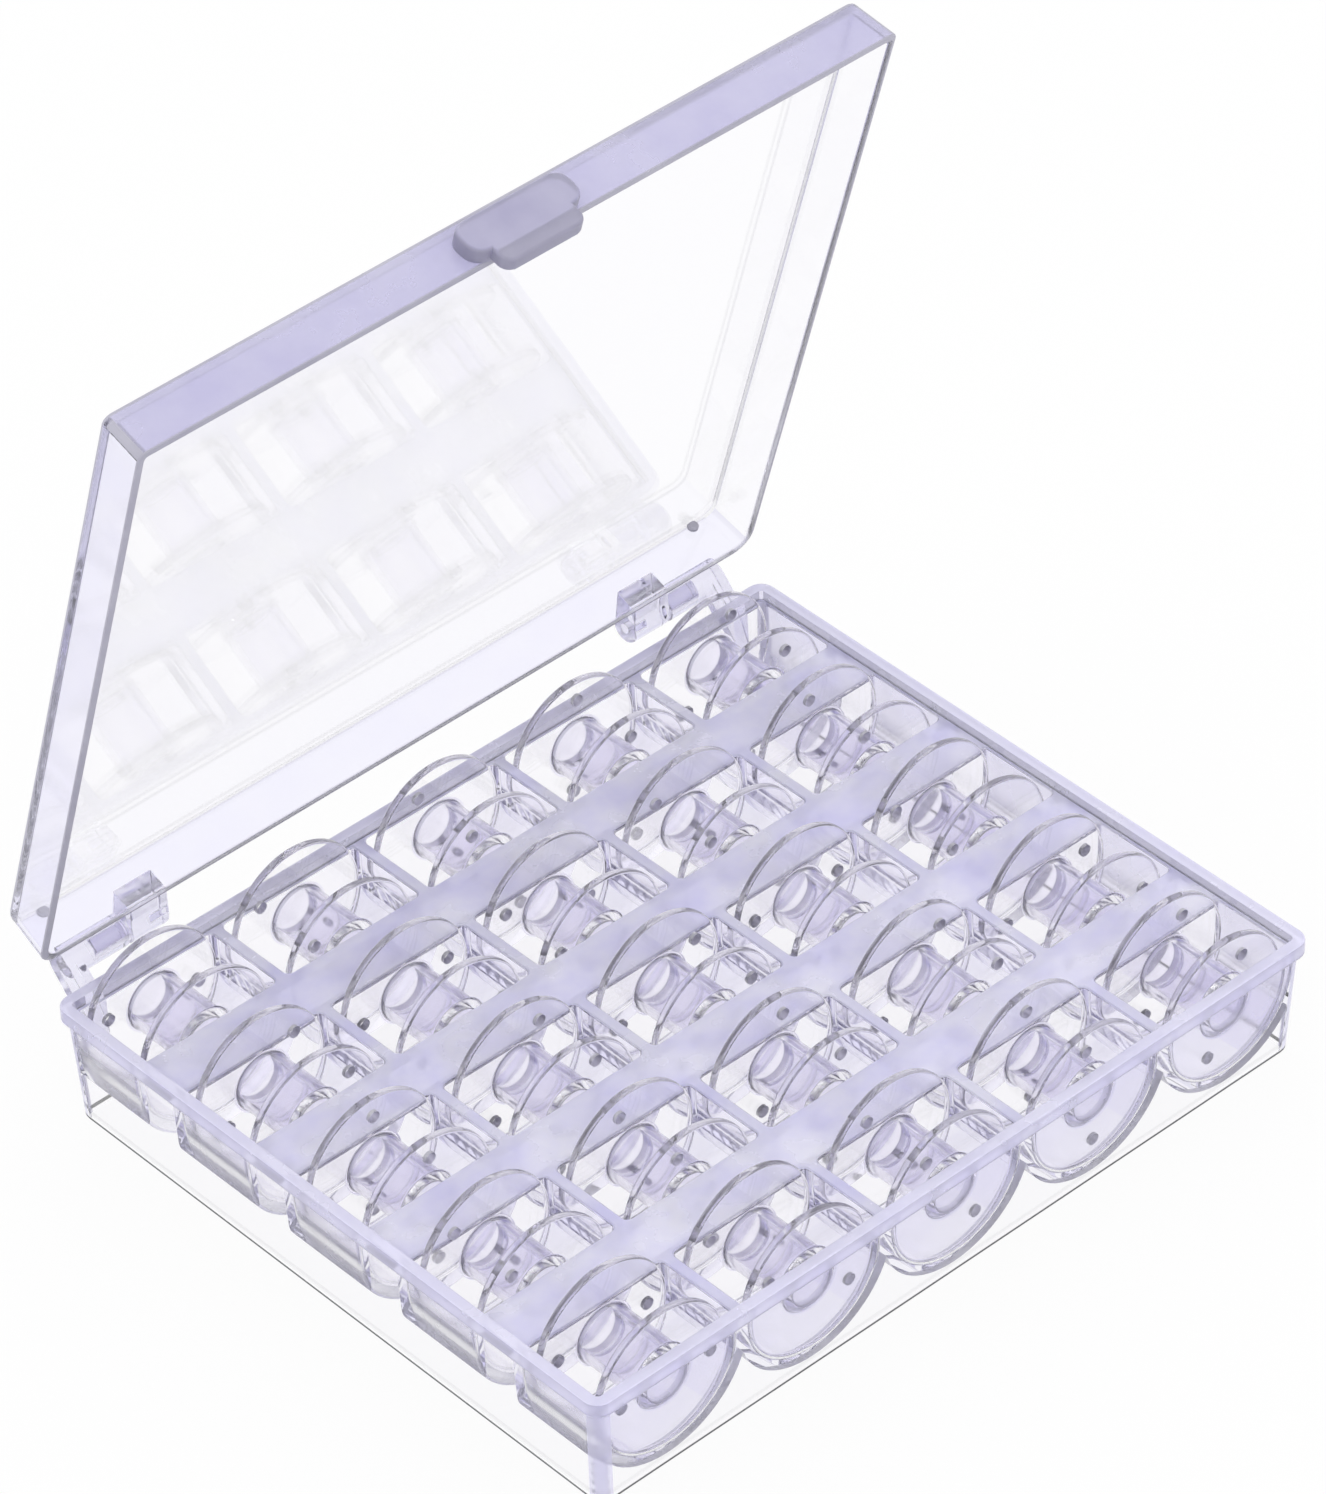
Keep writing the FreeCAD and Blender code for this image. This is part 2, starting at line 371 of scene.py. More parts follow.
def web_plate(outline, start, end):
    """A plate across X with the given side view and softened rims."""
    middle_y = sum(y for y, z in outline) / len(outline)
    middle_z = sum(z for y, z in outline) / len(outline)
    rings = []
    for x, taken in soft_ends(start, end, knuckle_edge):
        ring = []
        for y, z in outline:
            away = math.hypot(y - middle_y, z - middle_z)
            keep = (away - taken) / away
            ring.append((x, middle_y + (y - middle_y) * keep, middle_z + (z - middle_z) * keep))
        rings.append(ring)
    return skin("web_plate", rings)


def mirrored(thing):
    """A twin of an object on the other side of the YZ plane."""
    twin = added(thing.name, thing.data.copy())
    twin.data.transform(Matrix.Scale(-1, 4, Vector((1, 0, 0))))
    twin.data.flip_normals()
    return twin


def clear_plastic(name, density, tone, clarity, roughness, ripple, evenness=0.75):
    """Clear polystyrene, faintly tinted, with cloudy flow marks and a moulding's slight ripple.

    density is how strongly the tint grows with the depth of plastic looked through.
    clarity is the share of the light that goes through; the rest is scattered at the surface.
    ripple is how high the surface's waves are (mm), and evenness how little the paler flow
    marks stand out."""
    material = bpy.data.materials.new(name)
    material.use_nodes = True
    nodes = material.node_tree.nodes
    links = material.node_tree.links
    shader = nodes["Principled BSDF"]
    shader.inputs["Transmission Weight"].default_value = clarity
    shader.inputs["IOR"].default_value = 1.5
    place = nodes.new("ShaderNodeTexCoord")
    cloud = nodes.new("ShaderNodeTexNoise")
    cloud.inputs["Scale"].default_value = 140.0
    cloud.inputs["Detail"].default_value = 4.0
    links.new(place.outputs["Object"], cloud.inputs["Vector"])
    mottle = nodes.new("ShaderNodeValToRGB")
    mottle.color_ramp.elements[0].position = 0.3
    mottle.color_ramp.elements[0].color = [*tone, 1]
    mottle.color_ramp.elements[1].position = 0.7
    mottle.color_ramp.elements[1].color = [part ** evenness for part in tone] + [1]
    links.new(cloud.outputs["Fac"], mottle.inputs["Fac"])
    links.new(mottle.outputs["Color"], shader.inputs["Base Color"])
    haze = nodes.new("ShaderNodeMapRange")
    haze.inputs["To Min"].default_value = roughness * 0.5
    haze.inputs["To Max"].default_value = roughness * 1.5
    links.new(cloud.outputs["Fac"], haze.inputs["Value"])
    links.new(haze.outputs["Result"], shader.inputs["Roughness"])
    flow = nodes.new("ShaderNodeTexNoise")
    flow.inputs["Scale"].default_value = 60.0
    flow.inputs["Detail"].default_value = 1.0
    links.new(place.outputs["Object"], flow.inputs["Vector"])
    bump = nodes.new("ShaderNodeBump")
    bump.inputs["Strength"].default_value = 1.0
    bump.inputs["Distance"].default_value = ripple * mm
    links.new(flow.outputs["Fac"], bump.inputs["Height"])
    links.new(bump.outputs["Normal"], shader.inputs["Normal"])
    depth = nodes.new("ShaderNodeVolumeAbsorption")
    depth.inputs["Color"].default_value = (0.57, 0.54, 0.86, 1)
    depth.inputs["Density"].default_value = density
    links.new(depth.outputs["Volume"], nodes["Material Output"].inputs["Volume"])
    return material


def plastics(piece, density, looks):
    """A piece's finishes by name, each from its tone, clarity, roughness, ripple and evenness."""
    return {
        finish: clear_plastic(f"{piece}_{finish}", density, *look) for finish, look in looks.items()
    }


tray_finishes = plastics("tray", 9.0, {
    "polished": ((0.990, 0.986, 1.0), 1.0, 0.02, 0.01),
    "satin": ((0.80, 0.78, 1.0), 0.22, 0.25, 0.02),
    # Painted shade: a dark grey, nearly opaque, drawn along edges and in holes for the dark lines
    # that clear plastic shows there.
    "painted_shade": ((0.50, 0.49, 0.56), 0.35, 0.4, 0.03),
    "tinted": ((0.89, 0.875, 1.0), 0.92, 0.1, 0.02),
    # Painted shadow: near black along the foot, for the contact shadow where the tray meets the
    # floor.
    "painted_shadow": ((0.07, 0.07, 0.08), 0.05, 0.5, 0.03),
    "milky": ((0.86, 0.84, 1.0), 0.97, 0.1, 0.02),
    "frosted": ((0.78, 0.76, 0.98), 0.55, 0.25, 0.03),
    "pale": ((0.92, 0.905, 1.0), 1.0, 0.06, 0.01),
    "deck": ((0.70, 0.68, 0.97), 0.22, 0.25, 0.02, 0.35),
    "hazy": ((0.86, 0.832, 1.0), 1.0, 0.27, 0.02),
})
polished = tray_finishes["polished"]
foot = [skirt_ring(up, inwards) for up, inwards in foot_round]
side = [skirt_ring(foot_strip, 0.0), skirt_ring(lip_bottom, 0.0)]
lip = [rim_ring(lip_bottom + up, inwards) for up, inwards in foot_round]
top = [rim_ring(rim_height - down, inwards) for down, inwards in rim_round]
tray = skin("tray", foot + side + lip + top)
hollow_corner = 0.8
hollow = skin("hollow", [
    skirt_ring(-overshoot, skirt_wall, hollow_corner),
    skirt_ring(deck_bottom, skirt_wall, hollow_corner),
])
in_grid = grid_tree()
banks = grown(trough_bank(), in_grid, columns=1, rows=rows, column_pitch=0.0,
              row_pitch=row_pitch * mm, plastic=polished)
merge(hollow, banks, "DIFFERENCE")
merge(tray, hollow, "DIFFERENCE")
recess_stops = [(deck_top, 0.0)]
recess_stops += [(rim_height - down, wider) for down, wider in recess_round]
recess_stops.append((rim_height + overshoot, recess_round[-1][1]))
recess = []
for z, wider in recess_stops:
    half_x = rim_half_x - rim_wall + wider
    half_y = rim_half_y - rim_wall + wider
    loop = rounded_loop(half_x, half_y, inner_corner, inner_corner)
    recess.append([(x, y, z) for x, y in loop])
merge(tray, skin("recess", recess), "DIFFERENCE")
cups = grown(cup_hollow(), in_grid, columns=columns, rows=rows, column_pitch=column_pitch * mm,
             row_pitch=row_pitch * mm, plastic=polished)
merge(tray, cups, "DIFFERENCE")

ear_root_y = rim_half_y - lip_overhang - skirt_wall / 2
ear_root_low = 9.8
ear_root_high = rim_height - 1.8
ear_thickness = 2.4
past_barrel = 0.01
ear_outline = web_outline((ear_root_y, ear_root_low), (ear_root_y, ear_root_high))
ear = turned(knuckle_radius, pivot_y, pivot_z, soft_ends(barrel_inner, barrel_outer, knuckle_edge))
ear_web = web_plate(ear_outline, barrel_outer - ear_thickness, barrel_outer + past_barrel)
merge(ear, ear_web, "UNION")
merge(tray, as_one([ear, mirrored(ear)]), "UNION")
socket_radius = 1.06
socket_depth = 5.3
socket = turned(socket_radius, pivot_y, pivot_z, [
    (barrel_inner - overshoot / 2, 0), (barrel_inner + socket_depth, 0),
])
merge(tray, as_one([socket, mirrored(socket)]), "DIFFERENCE")


def settle(thing, node, body, finishes, finish_at):
    """Shade a finished piece, let it stand for its node and move with its body.

    finish_at tells from a face's middle (mm) and normal which of the finishes it has."""
    thing.data.materials.clear()
    for material in finishes.values():
        thing.data.materials.append(material)
    thing.data.polygons.foreach_set("use_smooth", [True] * len(thing.data.polygons))
    crease = math.radians(34)
    thing.data.set_sharp_from_angle(angle=crease)
    order = list(finishes)
    for polygon in thing.data.polygons:
        polygon.material_index = order.index(finish_at(polygon.center / mm, polygon.normal))
    even = thing.modifiers.new("even", "WEIGHTED_NORMAL")
    even.keep_sharp = True
    even.weight = 100
    keep_result(thing, even)
    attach(thing, body)
    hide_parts(node)


def from_nearest(value, pitch, count):
    """How far a place is from the nearest of an odd number of evenly spaced centres."""
    last = count // 2
    return value - pitch * max(-last, min(last, round(value / pitch)))


def tray_finish(middle, normal):
    """Which finish a face of the tray has.

    The foot is painted shadow, near black, for the contact shadow where the tray meets the floor.
    The ears are tinted, the rim's top is satin and the deck mottled. The lip and the corners of
    the skirt are frosted, and the lip's lower edge is painted shade, a dark grey line. The sides of
    the cups are pale, or hazy in the end columns inside and out. The front ends of the cups are
    milky inside and frosted outside, and the rest is polished."""
    # The foot strip gets the painted shadow, the contact shadow on the floor drawn near black.
    if middle.z < foot_strip + 0.01:
        faces_table = normal.z <= -0.99
        return "polished" if faces_table else "painted_shadow"
    if middle.y > rim_half_y + 0.05:
        return "tinted"
    faces_up = normal.z > 0.6
    if faces_up and middle.z > rim_height - 0.35:
        return "satin"
    if faces_up and abs(middle.z - deck_top) < 0.2:
        return "deck"
    lip_skin = 0.25
    # The lip's lower edge gets painted shade, a dark grey line.
    if abs(middle.x) > rim_half_x - lip_skin or abs(middle.y) > rim_half_y - lip_skin:
        return "painted_shade" if middle.z < lip_bottom + 0.21 else "frosted"
    corner_reach = 3.6
    in_corner = min(abs(middle.x) - rim_half_x, abs(middle.y) - rim_half_y) > -corner_reach
    turns_corner = min(abs(normal.x), abs(normal.y)) > 0.1
    if in_corner and turns_corner and middle.z < lip_bottom:
        return "frosted"
    slack = 0.1
    in_end_column = abs(middle.x) > (columns // 2) * column_pitch
    front_row_y = -(rows // 2) * row_pitch
    from_row = abs(from_nearest(middle.y, row_pitch, rows))
    from_column = from_nearest(middle.x, column_pitch, columns)
    from_axis = Vector((from_column, 0, min(middle.z - cup_axis, 0)))
    if from_axis.length < cup_radius + slack and middle.z < deck_top - slack:
        on_end = abs(from_row - drafted(cup_half_length, middle.z)) < slack
        faces_in = from_axis.dot(normal) < 0
        on_side = faces_in and 0 <= normal.z < 0.8 and abs(normal.y) < 0.9
        if on_end and middle.y < front_row_y:
            return "milky"
        if on_side:
            return "hazy" if in_end_column else "pale"
        return "polished"
    on_trough = abs(from_axis.length - cup_radius - cup_wall) < 0.5
    if on_trough and from_axis.dot(normal) > 0:
        if middle.y < front_row_y - frosted_from:
            return "frosted"
        if in_end_column and normal.z > -0.95:
            return "hazy"
    return "polished"


settle(tray, "base_tray", "tray", tray_finishes, tray_finish)
tray.name = "tray_moulding"


# Lid
# A shallow tapered moulding of the same plastic. Two arms on its rear wall carry pins that snap
# into the barrels of the tray, and a pad with a tongue on its front wall latches under the lip.
lid_rim = 18.1
lid_top = 25.5
lid_taper = 0.55
lid_wall = 1.2
lid_plate = 1.2
lid_front = 1.2
lid_rear = 3.0
lid_inner_front = 0.6
lid_inner_rear = 1.8
lid_edge = 0.7
lid_inner_edge = 0.4
lid_open = math.radians(73.4)


def lid_ring(z, inset, front=lid_front, rear=lid_rear):
    """A ring of points round the tapered lid, with its front and rear corners' radii."""
    drawn_in = lid_taper * (z - lid_rim) / (lid_top - lid_rim) + inset
    loop = rounded_loop(rim_half_x - drawn_in, rim_half_y - drawn_in, front, rear)
    return [(x, y, z) for x, y in loop]


def inner_ring(z, inset):
    """A ring of points round the inside of the lid."""
    return lid_ring(z, lid_wall + inset, lid_inner_front, lid_inner_rear)


inner_top = lid_top - lid_plate
rim_flat = [lid_ring(lid_rim, inset) for inset in (0.9, 0.5)]
rim_edge = [lid_ring(lid_rim + up, inwards) for up, inwards in foot_round]
plate_edge = [lid_ring(lid_top - below, inset) for below, inset in rounded_stops(lid_edge)]
lid = skin("lid", rim_flat + rim_edge + [lid_ring(inner_top, 0.0)] + plate_edge)
inside = [inner_ring(lid_rim - overshoot / 2, -foot_round[0][1])]
inside += [inner_ring(lid_rim + up, -outwards) for up, outwards in foot_round]
inside += [inner_ring(inner_top - below, inset) for below, inset in rounded_stops(lid_inner_edge)]
merge(lid, skin("lid_inside", inside), "DIFFERENCE")

arm_inner = 39.6
arm_outer = 45.6
arm_root_y = rim_half_y - lid_wall / 2
arm_root_low = lid_rim + 0.15
arm_root_high = lid_rim + 3.6
pin_radius = 1.0
pin_length = 5.4
pin_edge = 0.2
core_radius = 0.7
core_depth = 2.6
arm_outline = web_outline((arm_root_y, arm_root_low), (arm_root_y, arm_root_high))
arm = web_plate(arm_outline, arm_inner, arm_outer)
pin_ends = soft_ends(arm_outer, arm_outer + pin_length, pin_edge)
pin_stops = [(arm_outer - overshoot, 0)] + pin_ends[len(pin_ends) // 2:]
merge(arm, turned(pin_radius, pivot_y, pivot_z, pin_stops), "UNION")
core_stops = [(arm_inner - overshoot / 2, 0), (arm_inner + core_depth, 0)]
merge(arm, turned(core_radius, pivot_y, pivot_z, core_stops), "DIFFERENCE")
merge(lid, as_one([arm, mirrored(arm)]), "UNION")


def front_plate(half_x, bottom, top, corner, front, back, edge):
    """An upright plate facing the latch side with a softened front rim."""
    middle = (bottom + top) / 2
    stops = [(back, 0)] + [(front + along, inset) for along, inset in rounded_stops(edge)]
    rings = []
    for y, inset in stops:
        round_by = corner - inset
        loop = rounded_loop(half_x - inset, (top - bottom) / 2 - inset, round_by, round_by)
        rings.append([(x, y, middle + z) for x, z in loop])
    return skin("front_plate", rings)


face = -rim_half_y
pad_front = face - 2.2
pad_edge = 0.5
tongue_back = face - 0.35
tongue_bottom = lip_bottom - 0.6
latch = front_plate(
    half_x=8.8, bottom=lid_rim, top=lid_rim + 5.4, corner=2.2,
    front=pad_front, back=face + lid_wall / 2, edge=pad_edge,
)
tongue = front_plate(
    half_x=6.45, bottom=tongue_bottom, top=lid_rim + 2.7, corner=1.6,
    front=pad_front, back=tongue_back, edge=pad_edge,
)
merge(latch, tongue, "UNION")
catch_radius = 0.28
catch_half = 5.0
catch_z = lip_bottom - 0.32
catch = turned(catch_radius, tongue_back, catch_z, [(-catch_half, 0), (catch_half, 0)], segments=16)
merge(latch, catch, "UNION")
merge(lid, latch, "UNION")
nub_x = 54.7
nub_radius = 0.8
nub_stops = [(-0.6, 0), (0.2, 0), (0.4, 0.25)]
nub = turned(nub_radius, 0, 0, nub_stops, segments=24)
nub_place = Vector((nub_x, rim_half_y - lid_taper - lid_wall, lid_top - 1.7))
nub.data.transform(Matrix.Rotation(math.radians(-90), 4, "Z"))
nub.data.transform(Matrix.Translation(mm * nub_place))
merge(lid, as_one([nub, mirrored(nub)]), "UNION")
pivot = mm * Vector((0, pivot_y, pivot_z))
swing = Matrix.Translation(pivot) @ Matrix.Rotation(-lid_open, 4, "X") @ Matrix.Translation(-pivot)
lid.data.transform(swing)


def depth_inside(x, y, corner):
    """How far a place is from the outline of the rim, inwards."""
    past_x = abs(x) - rim_half_x + corner
    past_y = abs(y) - rim_half_y + corner
    if min(past_x, past_y) > 0:
        return corner - math.hypot(past_x, past_y)
    return corner - max(past_x, past_y)


def lid_finish(middle, normal):
    """Which finish a face of the lid has.

    The latch has a dull grip, the arms are tinted and the front wall is frosted. The nubs, the
    rim's outer edge and the edges on the left and at the front are painted shade, dark grey lines,
    and the other edges are softened. The left and rear walls are veiled, and the rest is polished."""
    closed = swing.inverted() @ (mm * middle) / mm
    facing = swing.inverted().to_3x3() @ normal
    if closed.y < face - 0.02:
        return "grip"
    if closed.y > rim_half_y + 0.05:
        return "tinted"
    # Painted shade: the nubs, the rim's outer edge and the edges on the left and at the front are
    # drawn dark grey.
    edge_reach = 1.3
    depth = depth_inside(closed.x, closed.y, lid_rear if closed.y > 0 else lid_front)
    on_near_edge = closed.x < edge_reach - rim_half_x or closed.y < edge_reach + face
    if closed.z < lid_rim + 0.25:
        return "painted_shade" if on_near_edge or depth < 0.45 else "softened"
    near_nub = abs(abs(closed.x) - nub_x) < nub_radius + 0.05 and closed.z > lid_top - 2.6
    if near_nub and lid_wall + 0.4 < depth < 2.4:
        return "painted_shade"
    is_rounded = max(abs(part) for part in facing) < 0.985
    is_upright = abs(facing.z) < 0.2
    if is_rounded and closed.z > lid_top - 1.7:
        on_outside = closed.z > lid_top - 0.75
        return "painted_shade" if on_near_edge and on_outside else "softened"
    wall_reach = 2
    # The rounded upright edges at the front get painted shade too.
    if is_rounded and is_upright and closed.y < face + wall_reach:
        return "painted_shade"
    if closed.y < face + 0.5:
        return "frosted"
    on_left_or_rear = closed.x < wall_reach - rim_half_x or closed.y > rim_half_y - wall_reach
    return "veiled" if on_left_or_rear and is_upright else "polished"


lid_finishes = plastics("lid", 4.0, {
    "polished": ((0.984, 0.980, 1.0), 1.0, 0.02, 0.01),
    "frosted": ((0.58, 0.56, 0.76), 0.45, 0.25, 0.03),
    # Painted shade: dark grey edge lines on the lid.
    "painted_shade": ((0.42, 0.41, 0.50), 0.08, 0.4, 0.03),
    "tinted": ((0.89, 0.875, 1.0), 0.92, 0.1, 0.02),
    "grip": ((0.41, 0.395, 0.54), 0.4, 0.35, 0.03),
    "softened": ((0.985, 0.98, 1.0), 1.0, 0.5, 0.02),
    "veiled": ((0.90, 0.89, 1.0), 1.0, 0.04, 0.01),
})
settle(lid, "lid", "lid", lid_finishes, lid_finish)
lid.name = "lid_moulding"


# Bobbins
# Loose sewing-machine bobbins, each one moulding of clear polystyrene: two thin flanges with
# thread holes on a hollow hub. They stand on edge in the cups, and each is turned another way.
bobbin_radius = 10.25
bobbin_half = 5.7
flange = 1.1
hub_radius = 4.1
bore_radius = 3.05
bore_edge = 0.25
flange_edge = 0.3
hub_root = 0.5
bobbin_axis = 13.0
hole_radius = 0.85
hole_circle = (hub_radius + bobbin_radius) / 2
turn_per_row = 47
turn_per_column = 29


def bobbin_profile():
    """Half the side view, as (radius, place along the axis), from the bore round to the hub."""
    half = [
        (bore_radius, bobbin_half - flange), (bore_radius, bobbin_half - bore_edge),
        (bore_radius + 0.08, bobbin_half - 0.08), (bore_radius + bore_edge, bobbin_half),
    ]
    drum_end = bobbin_half - flange
    rim = rounded_stops(flange_edge)
    half += [(bobbin_radius - short, bobbin_half - taken) for short, taken in rim]
    half += [(bobbin_radius - taken, drum_end + short) for short, taken in rim]
    half += [(hub_radius + short, drum_end - taken) for short, taken in rounded_stops(hub_root)]
    return half


def bobbin_tree():
    """Turns a side view about an axis, bores the thread holes and sets the bobbin in its place."""
    tree, given, bobbin_out = new_tree("turned_bobbin", {
        "steps_round": "NodeSocketInt", "bore_radius": "NodeSocketFloat",
        "holes": "NodeSocketInt", "hole_radius": "NodeSocketFloat",
        "hole_circle": "NodeSocketFloat", "turn": "NodeSocketFloat",
        "place": "NodeSocketVector", "plastic": "NodeSocketMaterial",
    })
    nodes = tree.nodes
    links = tree.links
    outline = nodes.new("GeometryNodeMeshToCurve")
    links.new(given.outputs["Shape"], outline.inputs["Mesh"])
    path = nodes.new("GeometryNodeCurvePrimitiveCircle")
    links.new(given.outputs["steps_round"], path.inputs["Resolution"])
    links.new(given.outputs["bore_radius"], path.inputs["Radius"])
    body = nodes.new("GeometryNodeCurveToMesh")
    links.new(path.outputs["Curve"], body.inputs["Curve"])
    links.new(outline.outputs["Curve"], body.inputs["Profile Curve"])
    share = nodes.new("ShaderNodeMath")
    share.operation = "DIVIDE"
    share.inputs[0].default_value = 2 * math.pi
    links.new(given.outputs["holes"], share.inputs[1])
    angle = nodes.new("ShaderNodeMath")
    angle.operation = "MULTIPLY"
    links.new(nodes.new("GeometryNodeInputIndex").outputs["Index"], angle.inputs[0])
    links.new(share.outputs["Value"], angle.inputs[1])
    first_hole = nodes.new("ShaderNodeCombineXYZ")
    links.new(given.outputs["hole_circle"], first_hole.inputs["X"])
    around = nodes.new("ShaderNodeVectorRotate")
    around.rotation_type = "Z_AXIS"
    links.new(first_hole.outputs["Vector"], around.inputs["Vector"])
    links.new(angle.outputs["Value"], around.inputs["Angle"])
    circle = nodes.new("GeometryNodePoints")
    links.new(given.outputs["holes"], circle.inputs["Count"])
    links.new(around.outputs["Vector"], circle.inputs["Position"])
    drill = nodes.new("GeometryNodeMeshCylinder")
    drill.inputs["Vertices"].default_value = 24
    through_both = 20 * mm
    drill.inputs["Depth"].default_value = through_both
    links.new(given.outputs["hole_radius"], drill.inputs["Radius"])
    drills = nodes.new("GeometryNodeInstanceOnPoints")
    links.new(circle.outputs["Points"], drills.inputs["Points"])
    links.new(drill.outputs["Mesh"], drills.inputs["Instance"])
    real = nodes.new("GeometryNodeRealizeInstances")
    links.new(drills.outputs["Instances"], real.inputs["Geometry"])
    bored = nodes.new("GeometryNodeMeshBoolean")
    bored.operation = "DIFFERENCE"
    bored.solver = "MANIFOLD"
    links.new(body.outputs["Mesh"], bored.inputs["Mesh 1"])
    links.new(real.outputs["Geometry"], bored.inputs["Mesh 2"])
    on_edge = nodes.new("GeometryNodeTransform")
    on_edge.inputs["Rotation"].default_value = (math.radians(90), 0, 0)
    links.new(bored.outputs["Mesh"], on_edge.inputs["Geometry"])
    about_axis = nodes.new("ShaderNodeCombineXYZ")
    links.new(given.outputs["turn"], about_axis.inputs["Y"])
    rotation = nodes.new("FunctionNodeEulerToRotation")
    links.new(about_axis.outputs["Vector"], rotation.inputs["Euler"])
    placed = nodes.new("GeometryNodeTransform")
    links.new(on_edge.outputs["Geometry"], placed.inputs["Geometry"])
    links.new(given.outputs["place"], placed.inputs["Translation"])
    links.new(rotation.outputs["Rotation"], placed.inputs["Rotation"])
    finish = nodes.new("GeometryNodeSetMaterial")
    links.new(placed.outputs["Geometry"], finish.inputs["Geometry"])
    links.new(given.outputs["plastic"], finish.inputs["Material"])
    links.new(finish.outputs["Geometry"], bobbin_out.inputs["Shape"])
    return tree


half_profile = bobbin_profile()
profile = half_profile + [(radius, -along) for radius, along in reversed(half_profile)]
side_view = bpy.data.meshes.new("side_view")
side_view.from_pydata(
    [(mm * (radius - bore_radius), -mm * along, 0) for radius, along in profile],
    [(index, (index + 1) % len(profile)) for index in range(len(profile))], [],
)
bobbin_finishes = plastics("bobbin", 4.0, {
    "polished": ((0.992, 0.988, 1.0), 1.0, 0.015, 0.006),
    "cloudy": ((0.92, 0.90, 1.0), 0.97, 0.08, 0.01),
    # Painted shade: dark grey in the thread holes and at the bore's edges.
    "painted_shade": ((0.56, 0.54, 0.68), 0.45, 0.4, 0.03),
    "edge": ((0.96, 0.945, 1.0), 0.94, 0.12, 0.01),
    # Painted shade: a lighter grey drawn at the ends of the bore.
    "bore": ((0.78, 0.76, 0.92), 0.78, 0.3, 0.02),
})
bobbin_from = bobbin_tree()


def bobbin_finish(offset, normal):
    """Which finish a face of a bobbin has, from its place about the bobbin's middle.

    The drum is cloudy. The walls of the thread holes and the bore's edges are painted shade in dark
    grey, and the ends of the bore a lighter painted shade. The flanges' rims have a finish of their
    own, and the rest is polished."""
    from_axis = math.hypot(offset.x, offset.z)
    along = abs(offset.y)
    # The walls of the thread holes get painted shade, drawn dark grey.
    if hub_radius + 1 < from_axis < bobbin_radius - 1 and abs(normal.y) < 0.5:
        return "painted_shade"
    # The bore's ends get painted shade: dark grey at the edge, the lighter bore shade just inside.
    if from_axis < bore_radius + bore_edge + 0.01 and along > bobbin_half - flange:
        return "painted_shade" if along > bobbin_half - bore_edge - 0.05 else "bore"
    if from_axis > bobbin_radius - flange_edge - 0.01:
        return "edge"
    on_drum = from_axis < hub_radius + hub_root + 0.1 and along < bobbin_half - flange
    return "cloudy" if on_drum else "polished"


for row in range(rows):
    for column in range(columns):
        place = Vector((
            (column - (columns - 1) / 2) * column_pitch,
            (row - (rows - 1) / 2) * row_pitch,
            bobbin_axis,
        ))
        node = f"bobbin_r{row + 1}_c{column + 1}"
        spool = added(f"spool_r{row + 1}_c{column + 1}", side_view)
        grown(spool, bobbin_from, steps_round=96, bore_radius=bore_radius * mm, holes=2,
              hole_radius=hole_radius * mm, hole_circle=hole_circle * mm,
              turn=math.radians(turn_per_row * row + turn_per_column * column),
              place=mm * place, plastic=bobbin_finishes["polished"])
        settle(spool, node, node, bobbin_finishes,
               lambda middle, normal, place=place: bobbin_finish(middle - place, normal))


# Stage
# A sheet of white paper under the even light of a white tent, brightest overhead, with the
# camera on the latch side. None of it is part of the box.
floor_mesh = bpy.data.meshes.new("floor")
reach = 3.0
floor_mesh.from_pydata(
    [(-reach, -reach, 0), (reach, -reach, 0), (reach, reach, 0), (-reach, reach, 0)], [],
    [(0, 1, 2, 3)],
)
floor = added("floor", floor_mesh)
paper = bpy.data.materials.new("floor_paper")
paper.use_nodes = True
nodes = paper.node_tree.nodes
links = paper.node_tree.links
sheet = nodes["Principled BSDF"]
sheet.inputs["Base Color"].default_value = (0.9, 0.9, 0.9, 1)
sheet.inputs["Roughness"].default_value = 0.9
sheet.inputs["Specular IOR Level"].default_value = 0.0
glow = nodes.new("ShaderNodeEmission")
glow.inputs["Strength"].default_value = 1.0
ray = nodes.new("ShaderNodeLightPath")
seen = nodes.new("ShaderNodeMath")
seen.operation = "MAXIMUM"
links.new(ray.outputs["Is Camera Ray"], seen.inputs[0])
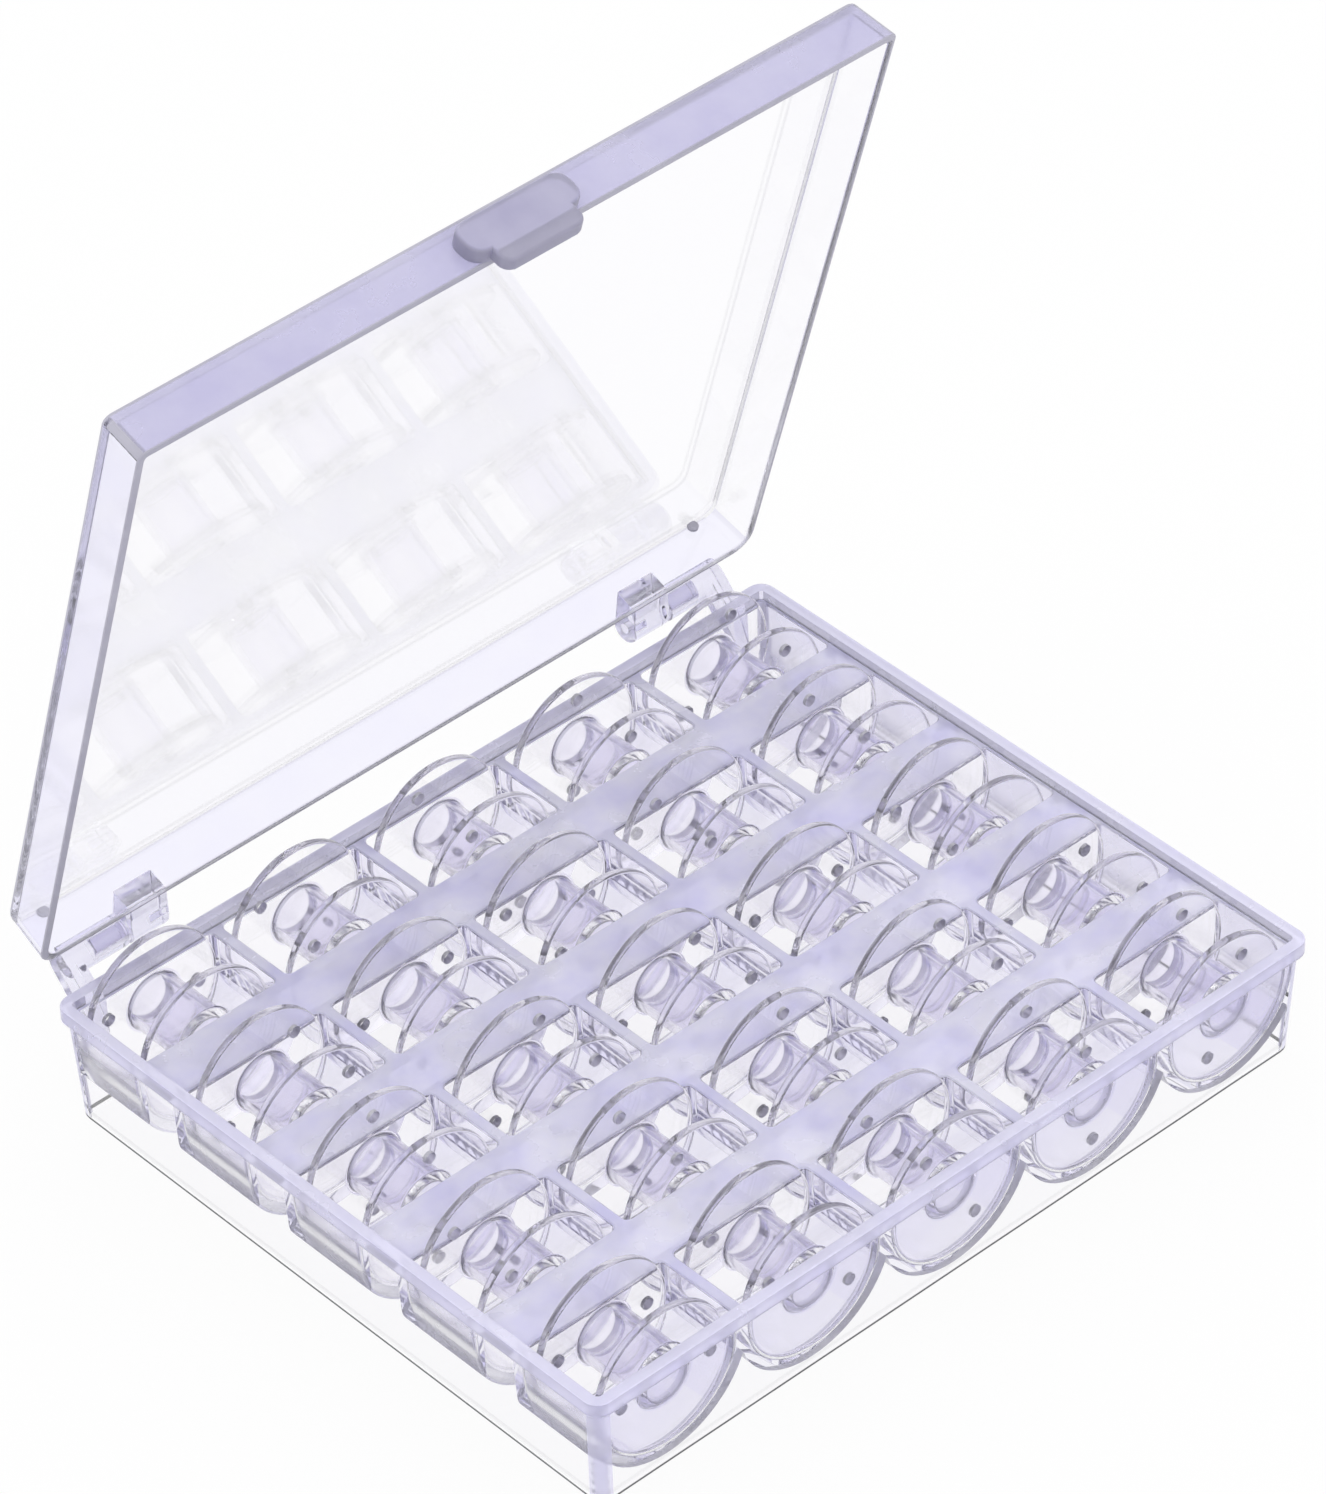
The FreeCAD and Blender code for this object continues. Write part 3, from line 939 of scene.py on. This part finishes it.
links.new(ray.outputs["Is Glossy Ray"], seen.inputs[1])
through = nodes.new("ShaderNodeMath")
through.operation = "MAXIMUM"
links.new(seen.outputs["Value"], through.inputs[0])
links.new(ray.outputs["Is Transmission Ray"], through.inputs[1])
share = nodes.new("ShaderNodeMath")
share.operation = "MULTIPLY"
white_share = 0.94
share.inputs[1].default_value = white_share
links.new(through.outputs["Value"], share.inputs[0])
blend = nodes.new("ShaderNodeMixShader")
links.new(share.outputs["Value"], blend.inputs["Fac"])
links.new(sheet.outputs["BSDF"], blend.inputs[1])
links.new(glow.outputs["Emission"], blend.inputs[2])
links.new(blend.outputs["Shader"], nodes["Material Output"].inputs["Surface"])
paper.cycles.emission_sampling = "NONE"
floor_mesh.materials.append(paper)

world = bpy.data.worlds.new("white_tent")
world.use_nodes = True
nodes = world.node_tree.nodes
links = world.node_tree.links
aim = nodes.new("ShaderNodeTexCoord")
height = nodes.new("ShaderNodeSeparateXYZ")
tones = nodes.new("ShaderNodeValToRGB")
links.new(aim.outputs["Generated"], height.inputs["Vector"])
links.new(height.outputs["Z"], tones.inputs["Fac"])
links.new(tones.outputs["Color"], nodes["Background"].inputs["Color"])
tones.color_ramp.elements[0].color = (0.84, 0.84, 0.90, 1)
tones.color_ramp.elements[1].position = 0.5
tones.color_ramp.elements[1].color = (1.1, 1.1, 1.1, 1)
side = tones.color_ramp.elements.new(0.2)
side.color = (0.94, 0.94, 0.98, 1)
world.cycles.sampling_method = "NONE"
bpy.context.scene.world = world

lens = bpy.data.cameras.new("camera")
lens.lens = 200.3
lens.sensor_width = 36.0
lens.clip_end = 20.0
camera = added("camera", lens)
camera.location = (-0.51613, -0.57787, 0.69921)
camera.rotation_euler = (math.radians(50.21), math.radians(1.302), math.radians(-42.724))
bpy.context.scene.camera = camera
bpy.context.scene.view_settings.view_transform = "Standard"
bpy.context.scene.cycles.max_bounces = 64
bpy.context.scene.cycles.transmission_bounces = 64
bpy.context.scene.cycles.glossy_bounces = 32
